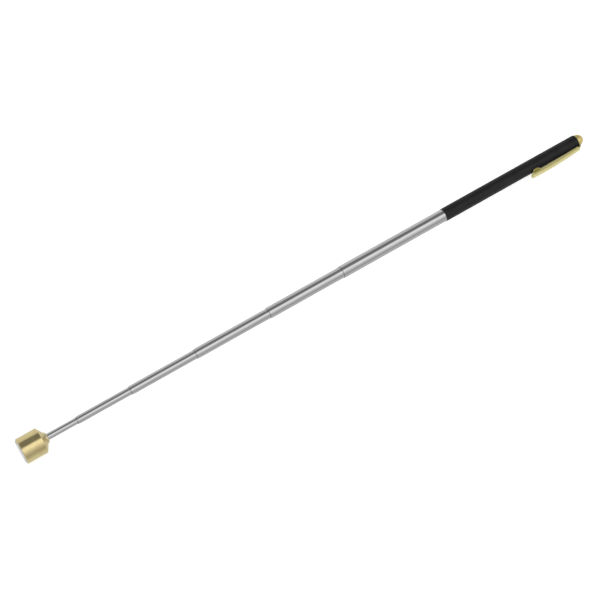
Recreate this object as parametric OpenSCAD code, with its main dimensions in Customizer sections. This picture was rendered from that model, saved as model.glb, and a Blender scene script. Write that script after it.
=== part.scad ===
// Pen-style telescopic magnetic pickup tool. All sizes are in millimetres.
// The tool lies along X: magnet face at x = 0, handle towards +x. The pocket clip is on the -y side,
// turned a little below level, as the tool comes to rest on a table.

/* [Magnet head] */
// outside diameter of the head
head_d = 22.4; // [12:0.5:30]
// length of the cylindrical part of the head
head_l = 18.9; // [10:0.1:30]
// x where the conical back of the head ends
cone_end_x = 22.3; // [12:0.1:40]
// radius of the head at the end of its conical back
cone_end_r = 5; // [3.6:0.1:8]
// diameter of the magnet disc
magnet_d = 16.2; // [6:0.1:24]
// thickness of the magnet disc
magnet_t = 7; // [2:0.5:12]
// outside diameter of the steel pole cup
cup_d = 20.4; // [8:0.1:28]
// side wall of the pole cup
cup_wall = 1.1; // [0.5:0.1:3]
// floor of the pole cup
cup_floor = 1.8; // [0.8:0.1:4]
// how far the plated shell sits back from the magnet face
shell_setback = 0.35; // [0:0.05:1]
// bevel on the edges of the head
head_bevel = 0.4; // [0.1:0.05:1.5]
// diameter of the rounded ferrule where it meets the tube
ferrule_d = 6.3; // [6:0.1:12]
// x where the ferrule ends and the bare rod starts
ferrule_end_x = 24.3; // [14:0.1:45]

/* [Telescopic tubes] */
// outside diameter of the innermost tube
tube_d_min = 5.65; // [3:0.05:8]
// growth in diameter from one tube to the next
tube_step = 1.15; // [0.8:0.01:2]
// outside diameter of the outermost tube
tube_d_max = 11.32; // [8:0.01:14]
// wall of each tube
tube_wall = 0.25; // [0.15:0.05:0.5]
// length of each tube
tube_l = 120; // [60:1:200]
// x of the front end of each tube, second to sixth
tube_front_x = [50.5, 100, 161.95, 233.3, 307.1];
// x of the front end of the innermost tube, inside the head
rod_front_x = 18; // [10:0.5:30]
// running gap between a neck and the tube inside it
neck_gap = 0.03; // [0.01:0.01:0.1]
// straight land of a neck
neck_land = 0.8; // [0.3:0.1:2]
// length of the curve from the neck to the full diameter
neck_ramp = 1.2; // [0.5:0.1:3]

/* [Friction bushes] */
// length of a split friction bush
bush_l = 6; // [3:0.5:12]
// running gap between a bush and the bore it slides in
bush_gap = 0.02; // [0.01:0.01:0.1]
// width of the slot in a bush
bush_slot = 1; // [0.3:0.1:3]
// height of the flare and bead that trap a bush
flare_h = 0.15; // [0.05:0.01:0.25]
// the same height on the outermost tube
flare_h_outer = 0.06; // [0.02:0.01:0.12]

/* [Handle] */
// outside diameter of the handle tube
handle_d = 11.96; // [9:0.01:16]
// bore of the handle tube
handle_bore_d = 11.58; // [8:0.01:15]
// x of the handle mouth
handle_x0 = 414; // [300:0.1:600]
// x of the handle end
handle_x1 = 559.6; // [400:0.1:700]
// length of the plug in the end of the handle
plug_l = 7; // [3:0.5:20]
// diameter of the stud that holds the end cap
cap_stud_d = 3; // [2:0.1:5]
// height of the pointed end cap
cap_h = 7.2; // [2:0.1:10]
// largest diameter of the end cap
cap_d = 10.4; // [6:0.1:14]

/* [Pocket clip] */
// width of the clip
clip_w = 5.2; // [3:0.1:8]
// sheet thickness of the clip
clip_t = 0.7; // [0.3:0.05:1.2]
// depth of the folded channel at the tip
clip_tip_depth = 2.3; // [1:0.1:3]
// depth of the folded channel at the root
clip_depth = 1.7; // [1:0.1:3]
// how much deeper the channel is halfway along
clip_belly = 0.6; // [0:0.05:0.8]
// how far the channel bows away from the handle halfway along
clip_bow = 0.2; // [0:0.05:0.8]
// x of the clip tip
clip_tip_x = 504.8; // [450:0.1:540]
// distance from the axis to the channel's inner edge at the tip
clip_tip_r = 7.95; // [6.5:0.1:12]
// distance from the axis to the channel's inner edge at the root
clip_root_r = 6.9; // [6:0.05:12]
// outside radius of the bend at the root
clip_bend_r = 2.6; // [1.5:0.1:4]
// how far the clip is turned below level
clip_roll = 23; // [0:1:90]
// x of the middle of the pressing lobe
lobe_x = 510.5; // [480:0.1:550]
// length of the pressing lobe where it leaves the channel
lobe_l = 8.4; // [4:0.1:14]
// clearance between the lobe and the handle
lobe_gap = 0.1; // [0.05:0.05:0.5]

/* [Hidden] */
fn = 96;
head_r = head_d / 2;
tube_count = 6;
tube_r = [for (i = [0:4]) tube_d_min / 2 + i * tube_step / 2, tube_d_max / 2];
handle_r = handle_d / 2;
handle_bore_r = handle_bore_d / 2;
bore_r = [for (i = [1:5]) tube_r[i] - tube_wall, handle_bore_r];
front_x = [ferrule_end_x, tube_front_x[0], tube_front_x[1], tube_front_x[2], tube_front_x[3], tube_front_x[4]];
rear_x = [for (x = front_x) x + tube_l];
// rear end of a tube: a short flare, a ramp, the bush, and a bead that keeps the bush in place
flare_land = 0.5;
flare_ramp = 0.3;
bead_l = 0.8;
bead_slope = 0.25;
bush_end_play = 0.1;
bush_back = flare_land + flare_ramp;
bead_front = bush_back + bush_l + bush_end_play + bead_l;
cup_l = magnet_t + cup_floor;
ferrule_sleeve_r = 3.2;
ferrule_sleeve_x = 17;
stud_r = 2;
stud_x0 = 10.5;
stud_flange_l = 1;
stud_shank_l = 12;
stud_groove_pitch = 3;
stud_groove_depth = 0.2;
stud_groove_l = 0.8;
ring_x0 = handle_x1;
ring_x1 = ring_x0 + clip_t;
ring_r = 5.3;
cap_x0 = ring_x1;
root_split_y = clip_bend_r - (clip_root_r + clip_depth);
root_split_gap = 0.05;
bend_x = ring_x1 - clip_bend_r;
clip_slope = (clip_root_r - clip_tip_r) / (bend_x - clip_tip_x);
lobe_top_r = 5.3;
lobe_h = clip_tip_r + clip_slope * (lobe_x - clip_tip_x) - lobe_top_r;
lobe_r = (lobe_l * lobe_l / 4 + lobe_h * lobe_h) / (2 * lobe_h);
lobe_rim = 0.45;
lobe_web_w = 3.2;
lobe_notch = 0.8;
lobe_foot = 1.15;
tip_round = 0.6;
tip_rake = 0.3;
curve_steps = 3;
belly_steps = 6;

// 0 at the tip and the bend of the clip, 1 halfway along
function bow(x) = 4 * (x - clip_tip_x) * (bend_x - x) / pow(bend_x - clip_tip_x, 2);

// distance from the axis to the inner edge of the clip's channel at x
function clip_in(x) = clip_tip_r + clip_slope * (x - clip_tip_x) + clip_bow * bow(x);

// depth of the channel at x
function clip_deep(x) =
  clip_tip_depth + (clip_depth - clip_tip_depth) * (x - clip_tip_x) / (bend_x - clip_tip_x)
  + clip_belly * bow(x);

// half-cosine curve between two radii
function blend(a, b, t) = a + (b - a) * (1 - cos(180 * t)) / 2;

// solid of revolution about X from [radius, x] points; a flat of its facets faces straight down
module turned(pts) {
  rotate([0, 90, 0]) rotate([0, 0, 180 / fn]) rotate_extrude($fn = fn) polygon(pts);
}

// plain ring about X
module ring(x0, x1, r_in, r_out) {
  turned([[r_in, x0], [r_out, x0], [r_out, x1], [r_in, x1]]);
}

// one chrome tube with a necked-in mouth, a bead and a flared rear end
module telescopic_tube(i) {
  ro = tube_r[i];
  ri = ro - tube_wall;
  neck = i == 0 ? ri : tube_r[i - 1] + neck_gap;
  drop = ri - neck;
  x0 = front_x[i];
  x1 = rear_x[i];
  h = i == tube_count - 1 ? flare_h_outer : flare_h;
  xb = x1 - bead_front;
  edge = 0.1;
  turned(concat(
    [[neck, x0], [ro - drop - edge, x0], [ro - drop, x0 + edge]],
    [for (k = [0:curve_steps]) [blend(ro - drop, ro, k / curve_steps), x0 + neck_land + neck_ramp * k / curve_steps]],
    [[ro, xb], [ro + h, xb + bead_slope], [ro + h, xb + bead_l - bead_slope], [ro, xb + bead_l]],
    [[ro, x1 - bush_back], [ro + h, x1 - flare_land], [ro + h, x1]],
    [[ri + h, x1], [ri + h, x1 - flare_land], [ri, x1 - bush_back]],
    [for (k = [curve_steps:-1:0]) [blend(neck, ri, k / curve_steps), x0 + neck_land + neck_ramp * k / curve_steps]]
  ));
}

// innermost tube: plain front end that runs up inside the head
module rod_tube() {
  ro = tube_r[0];
  ri = ro - tube_wall;
  x1 = rear_x[0];
  xb = x1 - bead_front;
  h = flare_h;
  turned([
    [ri, rod_front_x], [ro, rod_front_x],
    [ro, xb], [ro + h, xb + bead_slope], [ro + h, xb + bead_l - bead_slope], [ro, xb + bead_l],
    [ro, x1 - bush_back], [ro + h, x1 - flare_land], [ro + h, x1],
    [ri + h, x1], [ri + h, x1 - flare_land], [ri, x1 - bush_back]
  ]);
}

// split brass bush on the rear end of a tube; the slots are staggered round the axis
module split_bush(i, inner_gap) {
  x1 = rear_x[i] - bush_back - inner_gap;
  slot_turn = 60 * i;
  difference() {
    ring(x1 - bush_l, x1, tube_r[i] + inner_gap, bore_r[i] - bush_gap);
    rotate([slot_turn, 0, 0])
      translate([x1 - bush_l - 1, -bush_slot / 2, 0])
        cube([bush_l + 2, bush_slot, handle_d]);
  }
}

module head_shell() {
  pocket_end = cup_l;
  color([0.86, 0.74, 0.42])
    turned([
      [cup_d / 2, shell_setback], [head_r - head_bevel, shell_setback], [head_r, shell_setback + head_bevel],
      [head_r, head_l - head_bevel], [head_r - head_bevel, head_l], [cone_end_r, cone_end_x],
      [ferrule_sleeve_r, cone_end_x], [ferrule_sleeve_r, ferrule_sleeve_x], [stud_r, ferrule_sleeve_x],
      [stud_r, pocket_end], [cup_d / 2, pocket_end]
    ]);
}

module pole_cup() {
  inner = cup_d / 2 - cup_wall;
  edge = 0.15;
  color([0.62, 0.63, 0.64])
    turned([
      [inner, 0], [cup_d / 2 - edge, 0], [cup_d / 2, edge], [cup_d / 2, cup_l],
      [0, cup_l], [0, magnet_t], [inner, magnet_t]
    ]);
}

module magnet_spacer() {
  recess = 0.25;
  color([0.35, 0.35, 0.36]) ring(recess, magnet_t, magnet_d / 2, cup_d / 2 - cup_wall);
}

module magnet_disc() {
  edge = 0.2;
  color([0.72, 0.73, 0.75])
    turned([[0, 0], [magnet_d / 2 - edge, 0], [magnet_d / 2, edge], [magnet_d / 2, magnet_t], [0, magnet_t]]);
}

// stud that joins the innermost tube to the head: grooved stud, flange and crimped shank
module head_stud() {
  grooves = floor((rod_front_x - stud_flange_l - stud_x0) / stud_groove_pitch) - 1;
  shank_r = tube_r[0] - tube_wall;
  color([0.7, 0.6, 0.35])
    difference() {
      turned([
        [0, stud_x0], [stud_r, stud_x0], [stud_r, ferrule_sleeve_x], [tube_r[0], ferrule_sleeve_x],
        [tube_r[0], rod_front_x], [shank_r, rod_front_x], [shank_r, rod_front_x + stud_shank_l],
        [0, rod_front_x + stud_shank_l]
      ]);
      for (k = [0:grooves])
        ring(stud_x0 + (k + 0.5) * stud_groove_pitch, stud_x0 + (k + 0.5) * stud_groove_pitch + stud_groove_l,
          stud_r - stud_groove_depth, stud_r + 1);
    }
}

module neck_ferrule() {
  l = ferrule_end_x - cone_end_x;
  drop = cone_end_r - ferrule_d / 2;
  color([0.84, 0.72, 0.4])
    turned(concat(
      [[tube_r[0], ferrule_sleeve_x], [ferrule_sleeve_r, ferrule_sleeve_x], [ferrule_sleeve_r, cone_end_x]],
      [for (k = [0:3]) [cone_end_r - drop * (1 - cos(30 * k)), cone_end_x + l * sin(30 * k)]],
      [[tube_r[0], ferrule_end_x]]
    ));
}

module section_1() { color([0.8, 0.81, 0.83]) rod_tube(); }
module section_2() { color([0.8, 0.81, 0.83]) telescopic_tube(1); }
module section_3() { color([0.8, 0.81, 0.83]) telescopic_tube(2); }
module section_4() { color([0.8, 0.81, 0.83]) telescopic_tube(3); }
module section_5() { color([0.8, 0.81, 0.83]) telescopic_tube(4); }
module section_6() { color([0.8, 0.81, 0.83]) telescopic_tube(5); }

// the innermost bush also lets its tube turn, so it has a running gap inside as well
module bush_1() { color([0.78, 0.6, 0.28]) split_bush(0, bush_gap); }
module bush_2() { color([0.78, 0.6, 0.28]) split_bush(1, 0); }
module bush_3() { color([0.78, 0.6, 0.28]) split_bush(2, 0); }
module bush_4() { color([0.78, 0.6, 0.28]) split_bush(3, 0); }
module bush_5() { color([0.78, 0.6, 0.28]) split_bush(4, 0); }
module bush_6() { color([0.78, 0.6, 0.28]) split_bush(5, 0); }

// black-coated handle tube with a slightly necked mouth
module handle_tube() {
  neck = tube_r[tube_count - 1] + neck_gap;
  drop = handle_bore_r - neck;
  edge = 0.08;
  end_edge = 0.15;
  color([0.12, 0.12, 0.13])
    turned(concat(
      [[neck, handle_x0], [handle_r - drop - edge, handle_x0], [handle_r - drop, handle_x0 + edge]],
      [for (k = [0:curve_steps])
        [blend(handle_r - drop, handle_r, k / curve_steps), handle_x0 + neck_land + neck_ramp * k / curve_steps]],
      [[handle_r, handle_x1 - end_edge], [handle_r - end_edge, handle_x1], [handle_bore_r, handle_x1]],
      [for (k = [curve_steps:-1:0])
        [blend(neck, handle_bore_r, k / curve_steps), handle_x0 + neck_land + neck_ramp * k / curve_steps]]
    ));
}

module end_plug() {
  color([0.7, 0.6, 0.35]) ring(handle_x1 - plug_l, handle_x1, cap_stud_d / 2, handle_bore_r);
}

// pointed end cap with its stud, turned from one bar
module cap_dome() {
  r = cap_d / 2;
  stud_end = handle_x1 - plug_l + 1;
  color([0.86, 0.74, 0.42])
    turned([
      [0, stud_end], [cap_stud_d / 2, stud_end], [cap_stud_d / 2, cap_x0], [r - 0.2, cap_x0], [r, cap_x0 + 0.2],
      [r, cap_x0 + cap_h * 0.34], [r * 0.88, cap_x0 + cap_h * 0.54], [r * 0.56, cap_x0 + cap_h * 0.82],
      [r * 0.24, cap_x0 + cap_h * 0.97], [0, cap_x0 + cap_h]
    ]);
}

// eyelet of the clip, clamped between the handle end and the cap, with the tab that leads to the bend
module clip_ring() {
  color([0.86, 0.74, 0.42])
    difference() {
      union() {
        turned([[0, ring_x0], [ring_r, ring_x0], [ring_r, ring_x1], [0, ring_x1]]);
        rotate([clip_roll, 0, 0])
          translate([ring_x0, root_split_y + root_split_gap, -clip_w / 2])
            cube([clip_t, -root_split_y - root_split_gap, clip_w]);
      }
      turned([[0, ring_x0 - 1], [cap_stud_d / 2, ring_x0 - 1], [cap_stud_d / 2, ring_x1 + 1], [0, ring_x1 + 1]]);
    }
}

// x of a station along the channel
function station(k) = clip_tip_x + (bend_x - clip_tip_x) * k / belly_steps;

// side outline of the folded flanges, from the tip to the bend
module flange_outline() {
  polygon(concat(
    [for (k = [belly_steps:-1:1]) [station(k), -clip_in(station(k))]],
    [[clip_tip_x - tip_rake, -clip_in(clip_tip_x)]],
    [for (k = [0:belly_steps]) [station(k), -clip_in(station(k)) - clip_deep(station(k))]]
  ));
}

// side outline of the channel's outer web
module web_outline() {
  polygon(concat(
    [for (k = [0:belly_steps]) [station(k), -clip_in(station(k)) - clip_deep(station(k))]],
    [for (k = [belly_steps:-1:0]) [station(k), -clip_in(station(k)) - clip_deep(station(k)) + clip_t]]
  ));
}

// outline of the pressing lobe, a segment of a disc that reaches some way below the channel's inner edge
module lobe_outline(inset, foot) {
  intersection() {
    translate([lobe_x, -lobe_top_r - lobe_r]) circle(r = lobe_r - inset, $fn = fn);
    translate([lobe_x - lobe_l, -clip_tip_r - foot]) square([2 * lobe_l, 3 * lobe_l]);
  }
}

// sprung arm of the clip: quarter bend, folded channel, pressing lobe and rounded tip
module clip_arm() {
  bend_y = root_split_y;
  flange_end = 1.4;
  color([0.86, 0.74, 0.42])
    rotate([clip_roll, 0, 0]) difference() {
      intersection() {
        union() {
          // quarter bend
          translate([0, 0, -clip_w / 2]) linear_extrude(clip_w)
            intersection() {
              difference() {
                translate([bend_x, bend_y]) circle(r = clip_bend_r, $fn = fn);
                translate([bend_x, bend_y]) circle(r = clip_bend_r - clip_t, $fn = fn);
              }
              translate([bend_x, bend_y - root_split_gap - clip_bend_r])
                square([clip_bend_r + 1, clip_bend_r]);
            }
          // outer web of the channel
          translate([0, 0, -clip_w / 2]) linear_extrude(clip_w)
            web_outline();
          // two folded flanges, cut back before the bend
          for (s = [-1, 1])
            translate([0, 0, s * (clip_w - clip_t) / 2 - clip_t / 2]) linear_extrude(clip_t)
              difference() {
                flange_outline();
                lobe_outline(lobe_rim, lobe_notch);
                translate([bend_x - flange_end, -clip_in(bend_x) - clip_depth / 3])
                  rotate(-20) square([2 * flange_end, clip_depth]);
              }
          // closed end of the channel at the tip
          translate([0, 0, -clip_w / 2]) linear_extrude(clip_w)
            intersection() {
              flange_outline();
              translate([clip_tip_x - tip_rake, -clip_tip_r - 3 * clip_tip_depth])
                square([tip_rake + clip_t, 4 * clip_tip_depth]);
            }
          // rim and recessed web of the lobe
          translate([0, 0, -clip_w / 2]) linear_extrude(clip_w)
            difference() {
              lobe_outline(0, lobe_foot);
              lobe_outline(lobe_rim, lobe_foot);
            }
          translate([0, 0, -lobe_web_w / 2]) linear_extrude(lobe_web_w) lobe_outline(lobe_rim / 2, lobe_foot);
        }
        // rounded plan shape of the tip
        rotate([90, 0, 0]) linear_extrude(2 * head_r)
          union() {
            translate([clip_tip_x - tip_rake + tip_round, -clip_w / 2]) square([60, clip_w]);
            translate([clip_tip_x - tip_rake, -clip_w / 2 + tip_round]) square([60, clip_w - 2 * tip_round]);
            for (s = [-1, 1])
              translate([clip_tip_x - tip_rake + tip_round, s * (clip_w / 2 - tip_round)])
                circle(r = tip_round, $fn = 48);
          }
      }
      // the lobe is hollowed to the round of the handle
      translate([lobe_x - lobe_l, 0, 0]) rotate([0, 90, 0])
        cylinder(h = 2 * lobe_l, r = handle_r + lobe_gap, $fn = fn);
    }
}

head_shell();
pole_cup();
magnet_spacer();
magnet_disc();
head_stud();
neck_ferrule();
section_1();
section_2();
section_3();
section_4();
section_5();
section_6();
bush_1();
bush_2();
bush_3();
bush_4();
bush_5();
bush_6();
handle_tube();
end_plug();
cap_dome();
clip_ring();
clip_arm();
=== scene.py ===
"""Looks of the telescopic magnetic pickup tool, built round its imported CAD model. Metres, same frame as the CAD."""
import math

import bpy
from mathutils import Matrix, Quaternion, Vector


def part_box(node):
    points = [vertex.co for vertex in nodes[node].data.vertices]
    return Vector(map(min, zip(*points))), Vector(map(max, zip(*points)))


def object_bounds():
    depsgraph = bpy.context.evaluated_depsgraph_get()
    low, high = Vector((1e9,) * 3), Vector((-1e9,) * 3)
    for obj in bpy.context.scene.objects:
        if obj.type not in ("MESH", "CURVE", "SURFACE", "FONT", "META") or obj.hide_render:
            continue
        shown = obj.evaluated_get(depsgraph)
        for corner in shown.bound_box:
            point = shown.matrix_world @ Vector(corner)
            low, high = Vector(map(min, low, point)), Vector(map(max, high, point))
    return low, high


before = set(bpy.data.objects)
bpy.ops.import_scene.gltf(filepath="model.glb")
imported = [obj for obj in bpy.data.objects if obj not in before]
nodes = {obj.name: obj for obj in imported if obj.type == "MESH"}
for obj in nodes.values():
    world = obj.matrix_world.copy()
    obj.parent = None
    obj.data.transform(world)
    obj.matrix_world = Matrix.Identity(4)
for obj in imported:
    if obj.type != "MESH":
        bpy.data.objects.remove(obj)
CAD_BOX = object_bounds()

# ---------------------------------------------------------------- camera
# the tool rests rolled on its clip; camera and studio are set round the clip and rolled with it
ROLL = 23.0
VIEW_AZIMUTH = -32.957
VIEW_ELEVATION = 59.945
LENS_MM = 92.4
DISTANCE = 1.30057
AIM_X = 0.26357
AIM_BELOW_AXIS = 0.00324


def make_camera():
    a, e = math.radians(VIEW_AZIMUTH), math.radians(VIEW_ELEVATION)
    back = Vector((math.sin(a) * math.cos(e), -math.cos(a) * math.cos(e), math.sin(e)))
    across = Vector((1, 0, 0)).cross(back).normalized()
    cam = bpy.data.objects.new("camera", bpy.data.cameras.new("camera"))
    bpy.context.scene.collection.objects.link(cam)
    cam.data.lens = LENS_MM
    cam.data.sensor_width = 36.0
    cam.data.clip_start, cam.data.clip_end = 0.05, 50.0
    cam.rotation_mode = "QUATERNION"
    roll = Quaternion((1, 0, 0), math.radians(ROLL))
    cam.location = roll @ (Vector((AIM_X, 0, 0)) + across * AIM_BELOW_AXIS + back * DISTANCE)
    cam.rotation_quaternion = roll @ (-back).to_track_quat("-Z", "Y")
    bpy.context.scene.camera = cam


# ---------------------------------------------------------------- node helpers
class Tree:
    """A short way to write a node tree."""

    def __init__(self, tree):
        self.t = tree
        tree.nodes.clear()

    def node(self, kind, **settings):
        n = self.t.nodes.new(kind)
        for k, v in settings.items():
            setattr(n, k, v)
        return n

    def link(self, a, b):
        self.t.links.new(a, b)

    def put(self, socket, value):
        if isinstance(value, bpy.types.NodeSocket):
            self.link(value, socket)
        else:
            socket.default_value = value

    def math(self, op, a, b=0.0, c=0.0, clamp=False):
        n = self.node("ShaderNodeMath", operation=op, use_clamp=clamp)
        for s, v in zip(n.inputs, (a, b, c)):
            self.put(s, v)
        return n.outputs[0]

    def vec(self, x, y, z):
        n = self.node("ShaderNodeCombineXYZ")
        for s, v in zip(n.inputs, (x, y, z)):
            self.put(s, v)
        return n.outputs[0]

    def noise(self, vector, scale, detail=3.0, rough=0.5, warp=0.0):
        n = self.node("ShaderNodeTexNoise")
        self.put(n.inputs["Vector"], vector)
        n.inputs["Scale"].default_value = scale
        n.inputs["Detail"].default_value = detail
        n.inputs["Roughness"].default_value = rough
        n.inputs["Distortion"].default_value = warp
        return n.outputs["Fac"]

    def remap(self, value, a0, a1, b0, b1):
        n = self.node("ShaderNodeMapRange")
        for name, v in (("Value", value), ("From Min", a0), ("From Max", a1), ("To Min", b0), ("To Max", b1)):
            self.put(n.inputs[name], v)
        return n.outputs["Result"]

    def mix(self, factor, a, b):
        n = self.node("ShaderNodeMix", data_type="RGBA")
        self.put(n.inputs["Factor"], factor)
        self.put(n.inputs["A"], a)
        self.put(n.inputs["B"], b)
        return n.outputs["Result"]

    def bump(self, height, distance, strength, normal=None):
        n = self.node("ShaderNodeBump")
        n.inputs["Strength"].default_value = strength
        n.inputs["Distance"].default_value = distance
        self.put(n.inputs["Height"], height)
        if normal is not None:
            self.link(normal, n.inputs["Normal"])
        return n.outputs["Normal"]


def axis_coords(t):
    """Object coordinates as x, angle round the tool's axis, radius, and the plain vector."""
    obj = t.node("ShaderNodeTexCoord").outputs["Object"]
    sep = t.node("ShaderNodeSeparateXYZ")
    t.link(obj, sep.inputs[0])
    x, y, z = sep.outputs
    angle = t.math("ARCTAN2", z, y)
    radius = t.math("SQRT", t.math("ADD", t.math("MULTIPLY", y, y), t.math("MULTIPLY", z, z)))
    return x, angle, radius, obj


def rgba(c):
    return (c[0], c[1], c[2], 1.0)


def principled(t, metallic, specular=0.5, coat=0.0, coat_rough=0.1):
    out = t.node("ShaderNodeOutputMaterial")
    p = t.node("ShaderNodeBsdfPrincipled")
    p.inputs["Metallic"].default_value = metallic
    p.inputs["Specular IOR Level"].default_value = specular
    p.inputs["Coat Weight"].default_value = coat
    p.inputs["Coat Roughness"].default_value = coat_rough
    t.link(p.outputs[0], out.inputs["Surface"])
    return p


def new_material(name):
    m = bpy.data.materials.new(name)
    m.use_nodes = True
    return m, Tree(m.node_tree)


def drawn_chrome(name, base, rough, seed, mouth=None):
    """Chrome on a drawn tube: faint lines along the tube, handling smudges, a few rubbed rings from sliding."""
    m, t = new_material(name)
    x, ang, rad, obj = axis_coords(t)
    lines = t.noise(t.vec(t.math("MULTIPLY", x, 12.0), t.math("MULTIPLY", ang, 9.0), seed), 6.0, 4.0, 0.6)
    smudge = t.noise(t.vec(t.math("ADD", t.math("MULTIPLY", x, 40.0), seed), ang, rad), 1.6, 4.0, 0.6, 0.6)
    rings = t.noise(t.vec(t.math("MULTIPLY", x, 900.0), t.math("MULTIPLY", ang, 0.25), seed), 1.0, 2.0, 0.5)
    grit = t.noise(obj, 2600.0, 2.0, 0.5)
    p = principled(t, 1.0)
    tone = t.math("MULTIPLY", t.remap(smudge, 0.35, 0.7, 0.0, 1.0), 0.45)
    dull = tuple(v * 0.86 for v in base)
    c = t.mix(tone, rgba(base), rgba(dull))
    if mouth is not None:
        # painted shadow: a thin uneven dark line just behind the rolled mouth, where the smaller tube slides in
        wavy = t.math("ADD", x, t.math("MULTIPLY", smudge, 0.0006))
        mouth_shadow = t.remap(wavy, mouth + 0.0006, mouth + 0.0012, 0.5, 0.0)
        c = t.mix(mouth_shadow, c, rgba((0.1, 0.1, 0.1)))
    t.put(p.inputs["Base Color"], c)
    r = t.math("ADD", t.remap(smudge, 0.3, 0.75, rough * 0.8, rough * 1.45), t.remap(rings, 0.45, 0.75, 0.0, 0.05))
    r = t.math("ADD", r, t.remap(lines, 0.4, 0.8, 0.0, 0.04))
    t.put(p.inputs["Roughness"], r)
    n = t.bump(lines, 0.00002, 0.35)
    n = t.bump(grit, 0.000004, 0.25, n)
    t.link(n, p.inputs["Normal"])
    return m


def turned_gold(name, base, deep, rough, line_scale=1400.0, flat=False, metal=1.0, recess_shade=None, satin_from=None):
    """Gold-coloured plating over a turned part: fine lathe lines, tone drift, dulled patches and bright specks."""
    m, t = new_material(name)
    x, ang, rad, obj = axis_coords(t)
    along = t.math("MULTIPLY", x, line_scale)
    across = t.math("MULTIPLY", rad, line_scale)
    lathe = t.noise(t.vec(along, t.math("MULTIPLY", ang, 0.35), across), 1.0, 3.0, 0.55)
    tone = t.noise(obj, 110.0, 4.0, 0.55, 0.5)
    patch = t.noise(obj, 420.0, 3.0, 0.6, 0.3)
    grain = t.noise(obj, 3800.0, 2.0, 0.5)
    p = principled(t, metal, coat=0.12, coat_rough=0.08)
    c = t.mix(t.remap(tone, 0.35, 0.7, 0.0, 1.0), rgba(base), rgba(deep))
    bright = tuple(min(1.0, v * 1.12 + 0.03) for v in base)
    c = t.mix(t.math("MULTIPLY", t.remap(grain, 0.6, 0.75, 0.0, 1.0), 0.5), c, rgba(bright))
    if recess_shade:
        # painted shade: the walls sunk beside the clip's lobe are darkened to a dull olive
        c = t.mix(clip_recess_shade(t, obj, *recess_shade), c, rgba(tuple(v * k for v, k in zip(deep, (0.62, 0.6, 0.3)))))
    t.put(p.inputs["Base Color"], c)
    r = t.math("ADD", t.remap(patch, 0.3, 0.75, rough * 0.75, rough * 1.5), t.remap(lathe, 0.4, 0.75, 0.0, 0.05))
    if satin_from is not None:
        r = t.math("ADD", r, t.remap(x, satin_from, satin_from + 0.0002, 0.0, 0.22))
    t.put(p.inputs["Roughness"], r)
    n = t.bump(lathe, 0.00003, 0.1 if flat else 0.3)
    n = t.bump(grain, 0.000008, 0.3, n)
    t.link(n, p.inputs["Normal"])
    return m


def clip_recess_shade(t, obj, half_width, inner_edge):
    """1 on the walls sunk beside the clip's pressing lobe, where the clip's colour is darkened as painted shade."""
    turn = t.node("ShaderNodeVectorRotate", rotation_type="X_AXIS")
    t.link(obj, turn.inputs["Vector"])
    turn.inputs["Angle"].default_value = -math.radians(ROLL)
    sep = t.node("ShaderNodeSeparateXYZ")
    t.link(turn.outputs[0], sep.inputs[0])
    sunk = t.math("LESS_THAN", t.math("ABSOLUTE", sep.outputs[2]), half_width)
    inside = t.math("GREATER_THAN", sep.outputs[1], -inner_edge)
    at_lobe = t.math("LESS_THAN", sep.outputs[0], LOBE_END_X)
    return t.math("MULTIPLY", t.math("MULTIPLY", sunk, inside), at_lobe)


def turned_steel(name, base, rough):
    """Faced steel: concentric tool marks, light oxide mottling and scuffs."""
    m, t = new_material(name)
    x, ang, rad, obj = axis_coords(t)
    marks = t.noise(t.vec(t.math("MULTIPLY", rad, 2600.0), t.math("MULTIPLY", ang, 0.4), x), 1.0, 3.0, 0.6)
    mottle = t.noise(obj, 300.0, 5.0, 0.6, 0.4)
    scuff = t.noise(t.vec(t.math("MULTIPLY", ang, 3.0), t.math("MULTIPLY", rad, 400.0), x), 3.0, 3.0, 0.5, 1.2)
    p = principled(t, 1.0)
    dark = tuple(v * 0.72 for v in base)
    t.put(p.inputs["Base Color"], t.mix(t.remap(mottle, 0.35, 0.75, 0.0, 0.8), rgba(base), rgba(dark)))
    r = t.math("ADD", t.remap(scuff, 0.4, 0.7, rough * 0.8, rough * 1.3), t.remap(marks, 0.4, 0.7, 0.0, 0.08))
    t.put(p.inputs["Roughness"], r)
    t.link(t.bump(marks, 0.00002, 0.35), p.inputs["Normal"])
    return m


def satin_black(name, base, rough):
    """Baked black coating: fine orange peel, specks, faint lengthwise rub and lighter worn dust."""
    m, t = new_material(name)
    x, ang, rad, obj = axis_coords(t)
    peel = t.noise(obj, 1500.0, 4.0, 0.6)
    fine = t.noise(obj, 5200.0, 2.0, 0.5)
    rub = t.noise(t.vec(t.math("MULTIPLY", x, 10.0), t.math("MULTIPLY", ang, 5.0), rad), 5.0, 4.0, 0.6)
    drift = t.noise(obj, 90.0, 4.0, 0.55)
    p = principled(t, 0.0, specular=0.22)
    lighter = tuple(v * 1.9 + 0.004 for v in base)
    c = t.mix(t.remap(drift, 0.35, 0.7, 0.0, 0.55), rgba(base), rgba(lighter))
    specks = t.math("MULTIPLY", t.remap(fine, 0.62, 0.74, 0.0, 1.0), 0.35)
    c = t.mix(specks, c, rgba(tuple(v * 4 + 0.01 for v in base)))
    t.put(p.inputs["Base Color"], c)
    t.put(p.inputs["Roughness"], t.remap(rub, 0.3, 0.7, rough * 0.85, rough * 1.12))
    n = t.bump(peel, 0.00004, 0.45)
    n = t.bump(fine, 0.00001, 0.3, n)
    t.link(n, p.inputs["Normal"])
    return m


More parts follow.
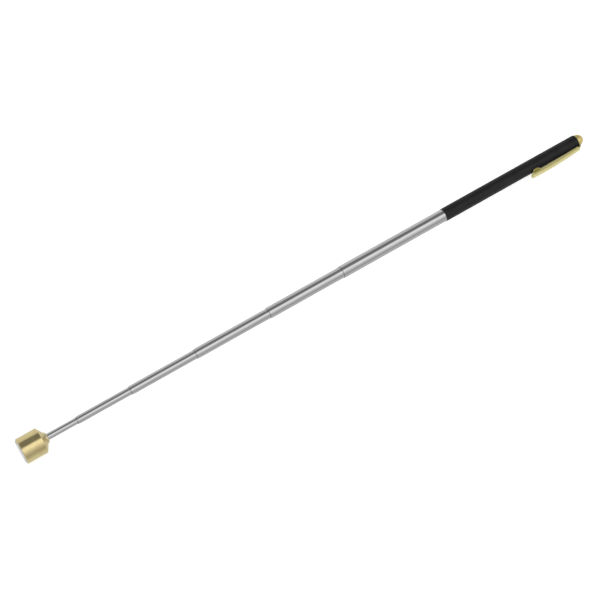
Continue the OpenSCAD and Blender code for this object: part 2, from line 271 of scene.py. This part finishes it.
def cast_resin(name, base):
    """Potting resin round the magnet: pinholes, a rough matte skin and dust in its hollows."""
    m, t = new_material(name)
    obj = t.node("ShaderNodeTexCoord").outputs["Object"]
    skin = t.noise(obj, 1800.0, 5.0, 0.65)
    pits = t.noise(obj, 4200.0, 2.0, 0.5)
    p = principled(t, 0.0, specular=0.35)
    c = t.mix(t.remap(skin, 0.4, 0.7, 0.0, 1.0), rgba(base), rgba(tuple(v * 1.7 + 0.01 for v in base)))
    t.put(p.inputs["Base Color"], c)
    t.put(p.inputs["Roughness"], t.remap(skin, 0.3, 0.7, 0.55, 0.75))
    t.link(t.bump(t.math("ADD", skin, pits), 0.00005, 0.5), p.inputs["Normal"])
    return m


CHROME = (0.56, 0.56, 0.56)
GOLD = (0.72, 0.61, 0.31)
GOLD_DEEP = (0.64, 0.52, 0.26)
BRASS = (0.62, 0.45, 0.20)
BRASS_DEEP = (0.50, 0.35, 0.14)
FERRULE_GOLD = (0.74, 0.67, 0.42)
FERRULE_GOLD_DEEP = (0.68, 0.6, 0.35)
CAP_GOLD = (0.74, 0.6, 0.24)
CAP_GOLD_DEEP = (0.66, 0.52, 0.19)
CLIP_GOLD = (0.68, 0.62, 0.27)
CLIP_GOLD_DEEP = (0.61, 0.55, 0.22)
CUP_STEEL = (0.8, 0.77, 0.78)
MAGNET_NICKEL = (0.78, 0.78, 0.79)
RESIN = (0.03, 0.03, 0.032)
BLACK = (0.0085, 0.0085, 0.0088)

HEAD_CONE_X = 0.0189  # the head's conical back starts here, and is less polished than its side
LOBE_END_X = 0.52  # the clip's pressing lobe lies in front of this
# half width of the clip's channel beside the lobe, and its outer limit from the axis: where painted shade darkens the
# clip
LOBE_SHADE_ZONE = (0.00165, 0.0088)


def dress(node, material):
    o = nodes[node]
    o.data.materials.clear()
    o.data.materials.append(material)
    for f in o.data.polygons:
        f.use_smooth = True
    smooth_by_angle(o)


def smooth_by_angle(o, degrees=28.0):
    """Marks the edges sharper than the angle, so curved faces shade smooth and corners stay crisp."""
    me = o.data
    limit = math.cos(math.radians(degrees))
    faces_of = {}
    for f in me.polygons:
        for k in f.edge_keys:
            faces_of.setdefault(k, []).append(f.normal.copy())
    for e in me.edges:
        ns = faces_of.get(e.key, [])
        e.use_edge_sharp = len(ns) != 2 or ns[0].dot(ns[1]) < limit


def dress_all():
    gold = turned_gold("gold_turned", GOLD, GOLD_DEEP, 0.12, satin_from=HEAD_CONE_X)
    gold_worn = turned_gold("gold_worn", FERRULE_GOLD, FERRULE_GOLD_DEEP, 0.26)
    gold_cap = turned_gold("gold_cap", CAP_GOLD, CAP_GOLD_DEEP, 0.38, metal=0.9)
    gold_sheet = turned_gold("gold_sheet", CLIP_GOLD, CLIP_GOLD_DEEP, 0.45, line_scale=500.0, flat=True, metal=0.45,
                             recess_shade=LOBE_SHADE_ZONE)
    brass = turned_gold("brass_satin", BRASS, BRASS_DEEP, 0.32)
    dress("head_shell", gold)
    dress("neck_ferrule", gold_worn)
    dress("cap_dome", gold_cap)
    for n in ("clip_ring", "clip_arm"):
        dress(n, gold_sheet)
    for n in ("head_stud", "end_plug"):
        dress(n, brass)
    for k in range(1, 7):
        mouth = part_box("section_%d" % k)[0].x if k > 1 else None
        dress("section_%d" % k, drawn_chrome("chrome_%d" % k, CHROME, 0.13, 3.7 * k, mouth))
        dress("bush_%d" % k, brass)
    dress("pole_cup", turned_steel("cup_steel", CUP_STEEL, 0.3))
    dress("magnet_disc", turned_steel("magnet_nickel", MAGNET_NICKEL, 0.22))
    dress("magnet_spacer", cast_resin("spacer_resin", RESIN))
    dress("handle_tube", satin_black("black_coat", BLACK, 0.5))


# ---------------------------------------------------------------- studio
# a plain neutral studio round the tool's long axis, degrees above the clip's side, then level:
# pale walls, a dim side low in front, one broad soft lamp high in front and one dark card behind it
STUDIO = (
    (-180, 0.85), (-40, 0.8), (0, 0.5), (30, 0.8), (55, 1.3), (75, 1.3), (90, 0.25), (130, 0.25), (150, 0.85),
    (180, 0.85),
)
STUDIO_GAIN = 2.0


def studio_ramp(t, place):
    """The studio's brightness at a place round the tool, 0 to 1 for -180 to 180 degrees."""
    ramp = t.node("ShaderNodeValToRGB")
    t.link(place, ramp.inputs[0])
    el = ramp.color_ramp.elements
    while len(el) > 1:
        el.remove(el[0])
    for i, (deg, level) in enumerate(STUDIO):
        e = el[0] if i == 0 else el.new((deg + 180) / 360)
        e.position = (deg + 180) / 360
        v = level / STUDIO_GAIN
        e.color = (v, v, v, 1)
    return ramp.outputs[0]


def make_world():
    world = bpy.data.worlds.new("studio")
    bpy.context.scene.world = world
    world.use_nodes = True
    t = Tree(world.node_tree)
    sep = t.node("ShaderNodeSeparateXYZ")
    t.link(t.node("ShaderNodeTexCoord").outputs["Generated"], sep.inputs[0])
    x, y, z = sep.outputs
    angle = t.math("ADD", t.math("ARCTAN2", z, t.math("MULTIPLY", y, -1.0)), math.radians(ROLL))
    place = t.math("WRAP", t.math("DIVIDE", t.math("ADD", angle, math.pi), 2 * math.pi), 1.0, 0.0)
    around = studio_ramp(t, place)
    bg = t.node("ShaderNodeBackground")
    # past the end of the floor the camera sees a plain backdrop; the metal reflects the studio
    seen = t.node("ShaderNodeLightPath").outputs["Is Camera Ray"]
    pale = 1.0 / STUDIO_GAIN
    t.put(bg.inputs["Color"], t.mix(seen, around, (pale, pale, pale, 1)))
    bg.inputs["Strength"].default_value = STUDIO_GAIN
    t.link(bg.outputs[0], t.node("ShaderNodeOutputWorld").inputs["Surface"])


def make_stage(floor_z):
    half = 9.0
    me = bpy.data.meshes.new("floor")
    me.from_pydata([(-half, -half, floor_z), (half, -half, floor_z), (half, half, floor_z), (-half, half, floor_z)],
                   [], [(0, 1, 2, 3)])
    floor = bpy.data.objects.new("floor", me)
    bpy.context.scene.collection.objects.link(floor)
    m, t = new_material("floor_paper")
    p = principled(t, 0.0, specular=0.1)
    obj = t.node("ShaderNodeTexCoord").outputs["Object"]
    t.put(p.inputs["Base Color"], t.mix(t.noise(obj, 40.0), rgba((0.93, 0.93, 0.93)), rgba((0.95, 0.95, 0.95))))
    p.inputs["Roughness"].default_value = 0.9
    p.inputs["Emission Color"].default_value = (1, 1, 1, 1)
    p.inputs["Emission Strength"].default_value = 0.55
    me.materials.append(m)
    floor.visible_glossy = False


def make_light():
    lamp = bpy.data.lights.new("softbox", "AREA")
    lamp.shape = "RECTANGLE"
    lamp.size, lamp.size_y = 1.6, 0.8
    lamp.energy = 6.0
    o = bpy.data.objects.new("softbox", lamp)
    bpy.context.scene.collection.objects.link(o)
    o.location = Quaternion((1, 0, 0), math.radians(ROLL)) @ Vector((0.25, -1.5, 1.6))
    o.rotation_mode = "QUATERNION"
    o.rotation_quaternion = (Vector((0.28, 0, 0)) - o.location).to_track_quat("-Z", "Y")
    o.visible_glossy = False


make_camera()
make_world()
make_light()
dress_all()
make_stage(CAD_BOX[0].z - 0.0002)
bpy.context.scene.view_settings.view_transform = "Standard"
